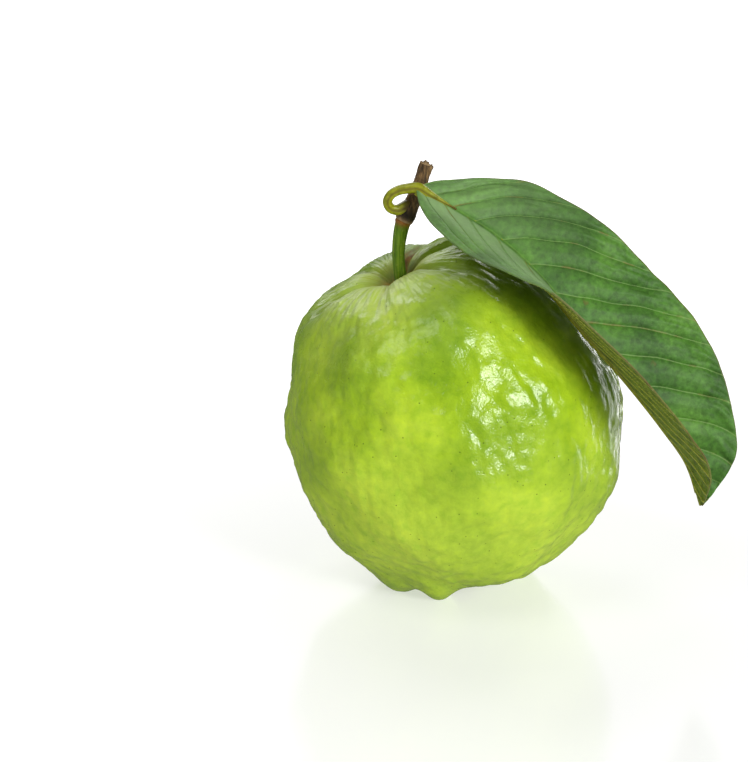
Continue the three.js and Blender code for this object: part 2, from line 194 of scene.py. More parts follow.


# %% [markdown]
# ## The skin's finish
# A guava's skin is a living, waxy, slightly translucent rind over pale flesh. The wax is thin
# and even, so it shines like satin lacquer, and the light that enters comes out again a few
# millimetres away, which softens the shadows. Its green is never even: it lies in deeper and
# yellower patches, is paler and yellower low down, partly as painted light from the floor, and
# is whitish and dull round the stem, partly as a painted sheen, with tiny oil glands and a few
# dark specks. Beside the leaf the skin carries a painted shadow of the leaf. The colour is built
# up from broad to fine.

# %% Skin material
def guava_skin():
    """Waxed living rind: a satin shine over uneven greens that seem lit from inside."""
    material, tree, place = new_material("waxy_guava_skin")
    # Broad patches of deeper and yellower green, about 20 mm across
    broad = add(tree, "ShaderNodeTexNoise", {"Vector": place, "Scale": rises(22), "Detail": 2})[0]
    body = add(tree, "ShaderNodeValToRGB", {"Fac": broad}, [
        (0.36, "#7b9f0b"), (0.5, "#94b517"), (0.66, "#a9c62a"),
    ])["Color"]
    # The lower side is paler and yellower: partly the rind's own colour, partly painted light
    # thrown up by the floor
    height = add(tree, "ShaderNodeSeparateXYZ", {"Vector": place})["Z"]
    lower = add(tree, "ShaderNodeMapRange", {
        "Value": height, "From Min": 70 * MM, "From Max": 25 * MM, "To Max": 0.45,
    })[0]
    body = add(tree, "ShaderNodeMix", {0: lower, 6: body, 7: linear("#b4c84e")},
               data_type="RGBA")[2]
    # Fine mottling of 2 to 3 mm
    mottle = add(tree, "ShaderNodeTexNoise", {
        "Vector": place, "Scale": rises(2.6), "Detail": 4, "Roughness": 0.6,
    })[0]
    mottle_colour = add(tree, "ShaderNodeValToRGB", {"Fac": mottle}, [
        (0.3, "#9aa79a"), (0.5, "#bcbcbc"), (0.72, "#d2cfb4"),
    ])["Color"]
    body = add(tree, "ShaderNodeMix", {0: 0.55, 6: body, 7: mottle_colour},
               data_type="RGBA", blend_type="OVERLAY")[2]
    # Whitish patches of about 6 mm on the shoulders round the stem: partly the rind's dull bloom,
    # partly a painted sheen, strongest on the lobes at the front left
    shoulder = add(tree, "ShaderNodeAttribute", attribute_name="shoulder")["Fac"]
    bloom_patch = add(tree, "ShaderNodeTexNoise", {
        "Vector": place, "Scale": rises(6.25), "Detail": 4,
    })[0]
    bloom_and_sheen = add(tree, "ShaderNodeMath", {0: shoulder, 1: bloom_patch}, operation="MULTIPLY")[0]
    body = add(tree, "ShaderNodeMix", {0: bloom_and_sheen, 6: body, 7: linear("#c0cc80")},
               data_type="RGBA")[2]
    # Painted shadow: the skin near the leaf is darkened to a deep green where the leaf shades it
    leaf_shadow = add(tree, "ShaderNodeAttribute", attribute_name="painted_leaf_shadow")["Fac"]
    body = add(tree, "ShaderNodeMix", {0: leaf_shadow, 6: body, 7: linear("#1f4405")},
               data_type="RGBA")[2]
    # Brown scar tissue in the creases and the cavity
    scar = add(tree, "ShaderNodeAttribute", attribute_name="scar")["Fac"]
    cork = add(tree, "ShaderNodeValToRGB", {"Fac": bloom_patch}, [
        (0.4, "#4d3212"), (0.6, "#a0662a"),
    ])["Color"]
    body = add(tree, "ShaderNodeMix", {0: scar, 6: body, 7: cork}, data_type="RGBA")[2]
    # Dark specks, each about 0.4 mm, in cells of 2 mm, most of them low on the fruit
    cells = add(tree, "ShaderNodeTexVoronoi", {"Vector": place, "Scale": rises(2)})
    chosen = add(tree, "ShaderNodeSeparateColor", {"Color": cells["Color"]})[0]
    near = add(tree, "ShaderNodeMapRange", {
        "Value": cells["Distance"], "From Min": 0.13, "From Max": 0.06, "To Max": 0.75,
    })[0]
    share = add(tree, "ShaderNodeMath", {0: lower, 1: 0.25}, operation="ADD")[0]
    rare = add(tree, "ShaderNodeMath", {0: chosen, 1: share}, operation="LESS_THAN")[0]
    speck = add(tree, "ShaderNodeMath", {0: near, 1: rare}, operation="MULTIPLY")[0]
    body = add(tree, "ShaderNodeMix", {0: speck, 6: body, 7: linear("#3f5210")},
               data_type="RGBA")[2]
    # The wax is a little duller on the shoulders, and the scars have none
    sheen_patch = add(tree, "ShaderNodeMapRange", {
        "Value": mottle, "From Min": 0.3, "From Max": 0.7, "To Min": 0.18, "To Max": 0.26,
    })[0]
    duller = add(tree, "ShaderNodeMath", {0: shoulder, 1: 0.28, 2: sheen_patch},
                 operation="MULTIPLY_ADD")[0]
    duller = add(tree, "ShaderNodeMath", {0: scar, 1: 0.5, 2: duller}, operation="MULTIPLY_ADD")[0]
    # The rind shrinks into little plates of 1.6 mm, with a grain of 0.65 mm on them
    plates = add(tree, "ShaderNodeTexVoronoi", {"Vector": place, "Scale": rises(1.6)},
                 feature="SMOOTH_F1")["Distance"]
    grain = add(tree, "ShaderNodeTexNoise", {"Vector": place, "Scale": rises(0.65), "Detail": 2})[0]
    relief = add(tree, "ShaderNodeMath", {0: plates, 1: -0.4, 2: grain},
                 operation="MULTIPLY_ADD")[0]
    # Where the rind is drawn into long folds it has next to no plates, and is shinier
    drawn = add(tree, "ShaderNodeAttribute", attribute_name="drawn")["Fac"]
    plated = add(tree, "ShaderNodeMapRange", {"Value": drawn, "To Min": 1.0, "To Max": 0.15})[0]
    duller = add(tree, "ShaderNodeMath", {0: drawn, 1: -0.11, 2: duller},
                 operation="MULTIPLY_ADD")[0]
    normal = add(tree, "ShaderNodeBump", {
        "Height": relief, "Distance": 0.1 * MM, "Strength": plated,
    })[0]
    shader = add(tree, "ShaderNodeBsdfPrincipled", {
        "Base Color": body, "Roughness": duller, "IOR": 1.42, "Normal": normal,
        "Subsurface Weight": 0.12, "Subsurface Radius": (1.0, 0.9, 0.3), "Subsurface Scale": 3 * MM,
    })[0]
    add(tree, "ShaderNodeOutputMaterial", {"Surface": shader})
    return material


skin_finish = guava_skin()

# %% [markdown]
# ## The fruit
# The fruit is a ball, drawn in at the stem and at the blossom end, with a raised shoulder,
# creases that run out from the stem between its lobes, and swellings that it stands on. A UV
# sphere suits it, because its rings and spokes run the way the fruit grew and are finest at the
# stem, where the wrinkles are. The large form repeats the solid's formula, and the finer relief
# is added to it: the plates and ripples that break up the shine, and the wrinkles that gather
# towards the stem.

# %% Form of the fruit
RADIUS, CENTRE_HEIGHT, SHOULDER, HOLLOW = 45.0, 45.5, 4.1, 6.0
# On the fruit, polar is in degrees from the stem and azimuth in degrees round it
STEM_LEAN = 21.5
# Azimuth and strength of each crease
CREASES = [(65, 1.0), (14, 0.9), (-42, 0.5), (-105, 0.3), (-178, 0.8), (128, 0.4)]
# Azimuth, degrees up from the blossom end, and height of each swelling
SWELLINGS = [(-108, 12.5, 4.9), (14, 20, 6.5), (139, 18, 4.9), (-150, 20, 3.9), (75, 24, 2.0)]


def azimuth_gap(first, second):
    return np.abs((first - second + 180) % 360 - 180)


def dents(direction):
    """Shallow dents and rises all over the skin, as a sum of waves that cross it each way."""
    height = np.zeros(len(direction))
    for i in range(7):
        lift = (2 * i + 1) / 7 - 1
        level = math.sqrt(1 - lift * lift)
        way = np.array([level * math.cos(2.4 * i), level * math.sin(2.4 * i), lift])
        height += 0.3 * np.sin(7.5 * (1 + 0.13 * i) * (direction @ way) + 1.7 * i)
    return height


def fruit_radius(polar, azimuth, direction):
    from_base = 180 - polar
    opened = ease(polar, 0, 8)
    tilt = opened * 1.2 * np.cos(np.radians(azimuth - 50))
    radius = RADIUS + (SHOULDER + tilt) * bell(polar - 33, 21)
    wider = np.cos(np.radians(azimuth - 180))
    radius -= HOLLOW * bell(polar, 8 + wider) + HOLLOW * bell(from_base, 13)
    for at, strength in CREASES:
        gap = azimuth_gap(azimuth, at)
        sharp = 2.2 * bell(gap, 8) * bell(polar - 17, 15)
        broad = 1.1 * bell(gap, 20) * bell(polar - 17, 26)
        radius -= opened * strength * (sharp + broad)
    for at, up, height in SWELLINGS:
        rise = from_base - up
        spread = np.where(rise > 0, 15.0, 5.5)
        radius += height * bell(azimuth_gap(azimuth, at), 17) * bell(rise, spread)
    return radius + ease(np.minimum(polar, from_base), 8, 40) * dents(direction)


print("The fruit has", len(CREASES), "creases and", len(SWELLINGS), "swellings")

# %% [markdown]
# The finer relief has three sizes. Ripples of 5 to 7 mm tilt the skin enough to tear the
# reflection of a lamp into patches. Plates of 3 mm, with creases between them, give the
# patches their broken edges. The wrinkles are noise that is stretched from end to end, close
# round the stem and wider on the sides, and each crease between two lobes ends in a narrow
# scarred groove.

# %% Relief of the fruit
RIPPLE_SIZE, PLATE_SIZE = 5, 3.2
# Heights and depths, in millimetres like all sizes here
RIPPLE, PLATE_CREASE, STEM_WRINKLE, SIDE_WRINKLE, GROOVE, FURROW = 0.48, 0.09, 0.34, 0.2, 0.8, 0.9


def plates(directions, size):
    """How near each point is to the border between two plates, from 0 inside to 1 on it."""
    scale = RADIUS / size
    border = np.empty(len(directions))
    for i, direction in enumerate(directions):
        near = noise.voronoi(Vector(direction) * scale)[0]
        border[i] = near[1] - near[0]
    return bell(border, 0.16)


def groove_line(polar, azimuth, creases):
    """1 along the scarred middle of each strong crease."""
    line = np.zeros(len(polar))
    for at, strength in creases:
        wander = at + 3 * np.sin(polar / 5)
        across = np.radians(azimuth_gap(azimuth, wander)) * RADIUS * np.sin(np.radians(polar))
        line = np.maximum(line, strength * bell(across, 0.55) * bell(polar - 16, 13))
    return line


def wrinkles_along(polar, azimuth, count, length, shift=0.0):
    """Noise that is drawn out from end to end. length is in degrees."""
    turn = np.radians(azimuth)
    spokes = np.stack([count * np.cos(turn), count * np.sin(turn), polar / length], axis=1)
    return grown(spokes, 1.0, 3, shift)


def furrow(direction, towards, wide, tall):
    """1 in a short upright furrow in the side, whose middle is in the direction given."""
    middle = np.array(towards) / np.linalg.norm(towards)
    side = unit(np.cross([0, 0, 1], middle))
    across, upwards = direction @ side, direction @ np.cross(middle, side)
    bent = across + 0.04 * np.sin(upwards * 14)
    return bell(bent, wide) * bell(upwards, tall) * (direction @ middle > 0)


# %% Make the fruit
bm = bmesh.new()
bmesh.ops.create_uvsphere(bm, u_segments=512, v_segments=192, radius=1)
fruit_mesh = start_mesh("guava_fruit", bm)
direction = unit(points_of(fruit_mesh))
polar = np.degrees(np.arccos(np.clip(direction[:, 2], -1, 1)))
azimuth = np.degrees(np.arctan2(direction[:, 1], direction[:, 0]))
away_from_ends = ease(polar, 6, 30) * ease(180 - polar, 12, 34)

ripples = grown(direction, RIPPLE_SIZE / RADIUS, 2)
plate_border = plates(direction, PLATE_SIZE)
stem_wrinkles = wrinkles_along(polar, azimuth, 15, 14) * bell(polar - 22, 15)
side_wrinkles = wrinkles_along(polar, azimuth, 15, 16, 9.0) * bell(polar - 85, 38)
groove = groove_line(polar, azimuth, CREASES)
# The brown scar of the back crease lies on its far wall
back_scar = groove_line(polar, azimuth, [(70, 1.0), (74, 0.8)])
radius = fruit_radius(polar, azimuth, direction)
radius += away_from_ends * (RIPPLE * ripples - PLATE_CREASE * plate_border)
# On the right side the skin is drawn into long folds
drawn = bell(azimuth_gap(azimuth, 0), 28) * bell(polar - 74, 38)
radius += STEM_WRINKLE * stem_wrinkles + (SIDE_WRINKLE + 0.16 * drawn) * side_wrinkles
radius -= GROOVE * groove
radius -= FURROW * furrow(direction, (-0.38, -0.81, 0.43), 0.06, 0.2)

places = direction * radius[:, None]
lean = np.radians(STEM_LEAN) * np.cos(np.radians(polar) / 2) ** 2
x, z = places[:, 0].copy(), places[:, 2].copy()
places[:, 0] = x * np.cos(lean) - z * np.sin(lean)
places[:, 2] = np.maximum(0, x * np.sin(lean) + z * np.cos(lean) + CENTRE_HEIGHT)

finish_piece(fruit_mesh, places, ["fruit"], [skin_finish], {
    # Round the stem: duller wax, and a whitish colour that is partly bloom and partly painted sheen
    "shoulder": bell(polar, 36) * (0.48 - 0.42 * np.cos(np.radians(azimuth - 50))),
    "scar": np.clip(bell(polar, 8.5) + 0.25 * groove + 0.9 * back_scar, 0, 1),
    "drawn": drawn,
})

# %% [markdown]
# ## Rods that follow a curve
# The stalk, the twig and the leaf's stalk and midrib are all rods bent along a curve. A curve
# object with a bevel would do, but bark and grooves need points on the surface. So each starts
# as a cone shape, is cut across into many rings, and is then bent by formula. A curve through a
# few points is worked out the way three.js does it, so that it lies where the solid's does.

# %% Curves and bent rods
def curve_through(points, fineness=80):
    """A smooth curve through the points. Returns its length and a reader of place by share."""
    points = np.array(points, float)
    ends = [2 * points[0] - points[1], *points, 2 * points[-1] - points[-2]]
    rows = []
    for before, start, end, after in zip(ends, ends[1:], ends[2:], ends[3:]):
        pairs = ((before, start), (start, end), (end, after))
        gap_in, gap, gap_out = [np.linalg.norm(b - a) ** 0.5 for a, b in pairs]
        chord = (end - start) / gap
        leave = gap * ((start - before) / gap_in - (end - before) / (gap_in + gap) + chord)
        arrive = gap * (chord - (after - start) / (gap + gap_out) + (after - end) / gap_out)
        t = np.linspace(0, 1, fineness, endpoint=False)[:, None]
        rows.append(start + leave * t + (3 * (end - start) - 2 * leave - arrive) * t ** 2
                    + (2 * (start - end) + leave + arrive) * t ** 3)
    line = np.vstack([*rows, points[-1:]])
    steps = np.linalg.norm(np.diff(line, axis=0), axis=1)
    distance = np.concatenate([[0], np.cumsum(steps)])

    def place_at(share):
        wanted = np.clip(share, 0, 1) * distance[-1]
        return np.stack([np.interp(wanted, distance, line[:, k]) for k in range(3)], axis=-1)

    return distance[-1], place_at


def tangent_of(place_at, share, step=0.004):
    return unit(place_at(np.minimum(share + step, 1)) - place_at(np.maximum(share - step, 0)))


def straight_rod(name, sides, rings):
    """A closed rod of radius 1 from z = 0 to z = 1, with rings of points along it."""
    bm = bmesh.new()
    bmesh.ops.create_cone(bm, cap_ends=True, segments=sides, radius1=1, radius2=1, depth=1)
    caps = [face for face in bm.faces if len(face.verts) > 4]
    bmesh.ops.inset_region(bm, faces=caps, thickness=0.3, use_even_offset=True)
    upright = [e for e in bm.edges if abs(e.verts[0].co.z - e.verts[1].co.z) > 0.5]
    bmesh.ops.subdivide_edges(bm, edges=upright, cuts=rings - 1, use_grid_fill=True)
    bmesh.ops.translate(bm, verts=bm.verts, vec=(0, 0, 0.5))
    return start_mesh(name, bm)


def from_top(angle):
    """The angle from the rod's upper side, within half a turn each way."""
    return (angle + np.pi / 2 + np.pi) % (2 * np.pi) - np.pi


def bend(rod, place_at, radius_at, end_shift=None):
    """Bends a straight rod along a curve. radius_at takes the share, the angle and the rod."""
    share = np.clip(rod[:, 2], 0, 1)
    angle = np.arctan2(rod[:, 1], rod[:, 0])
    out = np.hypot(rod[:, 0], rod[:, 1])
    forward = tangent_of(place_at, share)
    side = unit(np.cross(forward, [0, 1, 0]))
    front = np.cross(side, forward)
    radius = radius_at(share, angle) * out
    places = place_at(share) + side * (radius * np.cos(angle))[:, None]
    places += front * (radius * np.sin(angle))[:, None]
    if end_shift is not None:
        places += forward * end_shift(share, angle, out)[:, None]
    return places


# %% [markdown]
# ## The fruit's stalk
# The stalk is this year's growth: still green, smooth and a little shiny, with faint ribs along
# it and scattered corky warts. It widens where it joins the fruit and the twig, and has a
# brown ring of cork at the joint. The ribs are in the mesh and the warts in the bump.

# %% Stalk material
def green_stem():
    """Living green skin of a young stem: a low soft shine, broken by streaks and warts."""
    material, tree, place = new_material("young_green_stem")
    # Streaks 0.65 mm wide: the pattern is stretched about eight times upwards
    stretched = add(tree, "ShaderNodeMapping", {"Vector": place, "Scale": (1, 1, 0.12)})["Vector"]
    streak = add(tree, "ShaderNodeTexNoise", {
        "Vector": stretched, "Scale": rises(0.65), "Detail": 3,
    })[0]
    body = add(tree, "ShaderNodeValToRGB", {"Fac": streak}, [
        (0.3, "#3f5e03"), (0.5, "#5a7e0a"), (0.72, "#7d9720"),
    ])["Color"]
    # Corky warts of about 0.4 mm, one in each cell of 1.1 mm
    warts = add(tree, "ShaderNodeTexVoronoi", {"Vector": place, "Scale": rises(1.1)})["Distance"]
    wart = add(tree, "ShaderNodeMapRange", {"Value": warts, "From Min": 0.3, "From Max": 0.12})[0]
    faint = add(tree, "ShaderNodeMath", {0: wart, 1: 0.35}, operation="MULTIPLY")[0]
    body = add(tree, "ShaderNodeMix", {0: faint, 6: body, 7: linear("#8e9a46")},
               data_type="RGBA")[2]
    cork = add(tree, "ShaderNodeAttribute", attribute_name="cork")["Fac"]
    body = add(tree, "ShaderNodeMix", {0: cork, 6: body, 7: linear("#8a5a22")}, data_type="RGBA")[2]
    relief = add(tree, "ShaderNodeMath", {0: wart, 1: 0.5, 2: streak}, operation="MULTIPLY_ADD")[0]
    normal = add(tree, "ShaderNodeBump", {"Height": relief, "Distance": 0.15 * MM})[0]
    shader = add(tree, "ShaderNodeBsdfPrincipled", {
        "Base Color": body, "Roughness": 0.5, "IOR": 1.36, "Normal": normal,
    })[0]
    add(tree, "ShaderNodeOutputMaterial", {"Surface": shader})
    return material


# %% Make the stalk
STALK_RADIUS = 1.6
STALK_ROUTE = [
    (-12.6, 0, 77.6), (-14.4, 0, 84), (-15.2, 0, 91.6), (-14.6, -0.2, 97.6), (-13.7, -0.3, 101.3),
]


def stalk_radius(share, angle):
    ribs = 0.05 * np.sin(5 * angle + 3 * share) + 0.04 * np.sin(9 * angle - 4 * share)
    cuff = 0.22 * bell(share - 0.955, 0.02)
    return STALK_RADIUS + 0.5 * bell(share, 0.28) + 0.35 * bell(share - 1, 0.28) + ribs + cuff


stalk_length, stalk_place = curve_through(STALK_ROUTE)
stalk_mesh = straight_rod("fruit_stalk_skin", 64, 160)
rod = points_of(stalk_mesh)
# The ring of cork at the joint, and a little where the stalk joins the fruit
cork = np.clip(bell(rod[:, 2] - 0.96, 0.05) + 0.5 * bell(rod[:, 2], 0.06), 0, 1)
finish_piece(stalk_mesh, bend(rod, stalk_place, stalk_radius), ["fruit_stalk"],
             [green_stem()], {"cork": cork})
print("Stalk length in mm:", round(stalk_length, 1))

# %% [markdown]
# ## The twig
# The twig is last year's wood, with thin brown bark that has split along its length, a dark
# knot where the stalk and the leaf grew out, and a broken top with splinters round a hollow
# pith. Bark is rough at every size, so its ridges are modelled and its fibres are bump.

# %% Bark material
def split_bark():
    """Dry bark that has split along its length: no shine, and fibres that catch the light."""
    material, tree, place = new_material("split_twig_bark")
    # Fibres 0.8 mm wide, stretched four or five times along the twig
    stretched = add(tree, "ShaderNodeMapping", {"Vector": place, "Scale": (1, 1, 0.22)})["Vector"]
    fibre = add(tree, "ShaderNodeTexNoise", {
        "Vector": stretched, "Scale": rises(0.77), "Detail": 5, "Roughness": 0.65,
    })[0]
    body = add(tree, "ShaderNodeValToRGB", {"Fac": fibre}, [
        (0.32, "#2f2413"), (0.48, "#5b4424"), (0.6, "#7d6038"), (0.74, "#a58a5c"),
    ])["Color"]
    knot = add(tree, "ShaderNodeAttribute", attribute_name="knot")["Fac"]
    body = add(tree, "ShaderNodeMix", {0: knot, 6: body, 7: linear("#1d1706")}, data_type="RGBA")[2]
    pith = add(tree, "ShaderNodeAttribute", attribute_name="pith")["Fac"]
    body = add(tree, "ShaderNodeMix", {0: pith, 6: body, 7: linear("#b79a6c")}, data_type="RGBA")[2]
    normal = add(tree, "ShaderNodeBump", {"Height": fibre, "Distance": 0.6 * MM})[0]
    shader = add(tree, "ShaderNodeBsdfPrincipled", {
        "Base Color": body, "Roughness": 0.8, "IOR": 1.5, "Normal": normal,
    })[0]
    add(tree, "ShaderNodeOutputMaterial", {"Surface": shader})
    return material


# %% Make the twig
TWIG_RADIUS = 1.8
TWIG_ROUTE = [
    (-13.9, -0.3, 100.5), (-12.6, -0.3, 103.2), (-10.9, 0, 107.2), (-9.3, 0.2, 111.2),
    (-7.9, 0.4, 115.4),
]


def twig_radius(share, angle):
    around = np.stack([2.2 * np.cos(angle), 2.2 * np.sin(angle), 4 * share], axis=1)
    ridges = 0.28 * grown(around, 1.0, 4, 5.0)
    return TWIG_RADIUS + 0.75 * bell(share - 0.12, 0.17) + ridges


def twig_end(share, angle, out):
    """The broken end slopes down to the viewer and has splinters on its rim."""
    splinter = 0.45 * np.sin(2 * angle + 0.6) * np.cos(3 * angle) + 0.2 * np.sin(11 * angle) - 0.3
    slope = 0.8 * np.sin(angle) * out
    at_top = (share > 0.995).astype(float)
    return at_top * (slope + np.where(out > 0.9, splinter, -0.8))


twig_length, twig_place = curve_through(TWIG_ROUTE)
twig_mesh = straight_rod("twig_bark", 64, 120)
rod = points_of(twig_mesh)
out = np.hypot(rod[:, 0], rod[:, 1])
knot = 0.85 * bell(rod[:, 2] - 0.12, 0.13)
pith = np.clip((rod[:, 2] > 0.995) * (out < 0.9) * 0.6 + 0.5 * bell(rod[:, 2], 0.05), 0, 1)
finish_piece(twig_mesh, bend(rod, twig_place, twig_radius, twig_end), ["twig"],
             [split_bark()], {"knot": knot, "pith": pith})
print("Twig length in mm:", round(twig_length, 1))

# %% [markdown]
# ## The leaf
# A guava leaf is leathery. Its side veins leave the midrib in pairs, sink into the upper face,
# bend towards the tip and join near the margin, and the tissue between them bulges upwards, so
# the blade looks quilted. This one is folded along its midrib: the upper half hangs to the
# right, and the lower half turns towards the viewer and then up, so that it shows its
# underside near the tip. The blade starts as a flat grid, which is carried onto the folded
# surface of the solid. The grid's own two directions then say where every vein runs.

# %% Surface of the leaf
MIDRIB_ROUTE = [
    (-10.3, -4.5, 110.2), (9.2, -9.7, 99.6), (21.6, -15.5, 89.4), (32.2, -20.4, 77.0),
    (43.3, -22.3, 64.2), (53.6, -22.6, 50.7), (59.9, -22.4, 41.1), (63.5, -22.9, 30.0),
]
LEAF_OUTLOOK = np.array([0, -0.951, 0.309])
HALF_WIDTH = 26
# Degrees that each half is turned by, at shares of the midrib's length
FOLD_STATIONS = [0, 0.05, 0.1, 0.2, 0.3, 0.4, 0.52, 0.7, 0.85, 1]
UPPER_HALF_TURN = [38, 34, 27, 17, 14, 16, 19, 11, 2, -4]
LOWER_HALF_TURN = [50, 50, 43, 32, 19, 5, -2, -6, -10, -18]
FOLD_ROUNDING = 0.06
midrib_length, midrib_place = curve_through(MIDRIB_ROUTE, 200)
print("Midrib length in mm:", round(midrib_length, 1))


def along(stations, values, share):
    """Reads a row of values given at rising stations, on a smooth curve through them."""
    stations, values = np.array(stations, float), np.array(values, float)
    last = len(stations) - 1
    here = np.arange(last + 1)
    before, after = np.maximum(here - 1, 0), np.minimum(here + 1, last)
    slopes = (values[after] - values[before]) / (stations[after] - stations[before])
    k = np.clip(np.searchsorted(stations, share), 1, last)
    step = stations[k] - stations[k - 1]
    t = np.clip((share - stations[k - 1]) / step, 0, 1)
    eased = t * t * (3 - 2 * t)
    between = values[k - 1] + (values[k] - values[k - 1]) * eased
    return between + t * (1 - t) ** 2 * step * slopes[k - 1] - t ** 2 * (1 - t) * step * slopes[k]


def half_width(share):
    bulge = np.clip(share, 0, 1) ** 1.233
    curve = np.where(bulge < 0.5, 0.5, 0.6)
    narrowing = 1 - 0.3 * ease(share, 0.91, 1)
    width = HALF_WIDTH * np.maximum(np.sin(np.pi * bulge), 0) ** curve * narrowing
    return np.maximum(width, 0.7)


def uneven_margin(share, across):
    """The upper margin has one blunt corner and slight waves. The lower one runs evenly."""
    corner = 0.055 * bell(share - 0.19, 0.045) + 0.004 * np.sin(70 * share)
    return 1 + corner * ease(across, 0.3, 1)


def leaf_surface(share, across):
    """The blade's middle surface. across runs from -1 on the lower half to 1 on the upper."""
    forward = tangent_of(midrib_place, share, 0.002)
    outlook = unit(LEAF_OUTLOOK - forward * (forward @ LEAF_OUTLOOK)[:, None])
    spread = unit(np.cross(forward, outlook))
    spread *= np.where(spread[:, 2:] < 0, -1, 1)
    upper = np.radians(along(FOLD_STATIONS, UPPER_HALF_TURN, share))[:, None]
    lower = np.radians(along(FOLD_STATIONS, LOWER_HALF_TURN, share))[:, None]
    upper_half = spread * np.cos(upper) - outlook * np.sin(upper)
    lower_half = outlook * np.cos(lower) - spread * np.sin(lower)
    width = half_width(share) * uneven_margin(share, across)
    rounded = np.hypot(across, FOLD_ROUNDING)
    place = midrib_place(share)
    place = place + upper_half * (width * (rounded + across - FOLD_ROUNDING) / 2)[:, None]
    return place + lower_half * (width * (rounded - across - FOLD_ROUNDING) / 2)[:, None]


def leaf_normal(share, across, step=0.004):
    """Points out of the upper face, on both halves."""
    nearer, further = np.maximum(share - step, 0), np.minimum(share + step, 1)
    below, above = np.maximum(across - step, -1), np.minimum(across + step, 1)
    forward = leaf_surface(further, across) - leaf_surface(nearer, across)
    outward = leaf_surface(share, above) - leaf_surface(share, below)
    return unit(np.cross(forward, outward))


# %% [markdown]
# Each point of the blade gets a place on a map of the veins: the number of the side vein that
# it is nearest to, its distance from the midrib, and its distance from the leaf's base. The
# mesh uses the map to sink the veins, and the material uses it to colour them, so the two
# always agree. Side veins start at uneven distances, as on the real leaf, and lean towards the
# tip more and more on their way out.

# %% Map of the veins
# Where the side veins leave the midrib, in millimetres from the leaf's base
VEIN_STARTS = [-14, -7, -1, 4, 10, 17, 25.5, 35, 45, 54, 65, 76, 86.5, 96, 104, 111, 118]
# How far the tissue bulges, the side veins sink, the cushions rise and the midrib sinks
QUILT, VEIN_DEPTH, CUSHION, MIDRIB_DEPTH = 0.95, 0.2, 0.45, 0.3


def vein_map(share, across):
    out = half_width(share) * np.abs(across)
    base = share * midrib_length
    wander = 0.18 * np.sin(out * 0.45 + base * 0.21) + 0.1 * np.sin(out * 0.9 - base * 0.13 + 1)
    # On the lower half they leave the midrib at a narrower angle
    sweep = np.where(across < 0, 1.25, 0.82)
    start = base - sweep * out - 0.016 * out ** 2 + wander * ease(out, 0, 6)
    start = start + np.where(across < 0, 2.6, 0)
    number = np.interp(start, VEIN_STARTS, np.arange(len(VEIN_STARTS)))
    return number, out * np.sign(across), base


def leaf_relief(share, across):
    """Height of the upper face over the middle surface, in millimetres."""
    number, out, base = vein_map(share, across)
    edge = np.abs(across)
    to_vein = np.abs((number + 0.5) % 1 - 0.5)
    inside = ease(edge, 0.03, 0.3) * (1 - ease(edge, 0.86, 1))
    quilt = QUILT * (np.sqrt(to_vein * 2) - 0.62) * inside
    veins = VEIN_DEPTH * bell(to_vein * 10, 0.6) * (1 - ease(edge, 0.8, 0.97))
    near_margin = ease(edge, 0.45, 0.85) * (1 - ease(edge, 0.93, 1))
    spots = np.stack([out / 3.6, number * 3.2, base * 0.02], axis=1)
    cushions = CUSHION * grown(spots, 1.0, 2, 3.0) * near_margin
    # The half that turns to the viewer is smoother
    share_kept = 0.55 + 0.45 * ease(across, -0.1, 0.2)
    return share_kept * (quilt - veins + cushions) - MIDRIB_DEPTH * bell(out, 0.8)


print("Side veins on each half:", len(VEIN_STARTS))

# %% [markdown]
# ## The leaf's finishes
# The upper face is deep green under a thin waxy cuticle, duller than the fruit's. The veins are
# paler, some with rust-brown streaks beside them, and there are a few rust spots. The underside
# is olive and matt, because it is covered in short down, with raised yellowish veins. The cut
# of the margin is a thin reddish-brown line.

# %% Leaf materials
def vein_lines(tree):
    """What both faces share: how near each point is to the veins, their net and the margin."""
    spot = add(tree, "ShaderNodeAttribute", attribute_name="vein_map")["Vector"]
    number, out, base = add(tree, "ShaderNodeSeparateXYZ", {"Vector": spot})
    # Distance to the nearest side vein, as a share of the gap between two of them
    to_vein = add(tree, "ShaderNodeMath", {0: number, 1: 0.5}, operation="PINGPONG")[0]
    # The midrib's own band, 0.8 mm wide
    beside = add(tree, "ShaderNodeMath", {0: out}, operation="ABSOLUTE")[0]
    midrib = add(tree, "ShaderNodeMapRange", {
        "Value": beside, "From Min": 0.55, "From Max": 0.25,
    })[0]
    # A net of 2 mm meshes, laid along the midrib. The map is in millimetres already
    net_place = add(tree, "ShaderNodeCombineXYZ", {"X": out, "Y": base})[0]
    net = add(tree, "ShaderNodeTexVoronoi", {"Vector": net_place, "Scale": 1 / 2},
              feature="DISTANCE_TO_EDGE")["Distance"]
    mesh_line = add(tree, "ShaderNodeMapRange", {
        "Value": net, "From Min": 0.09, "From Max": 0.02,
    })[0]
    margin = add(tree, "ShaderNodeAttribute", attribute_name="margin")["Fac"]
    return to_vein, midrib, mesh_line, margin, net


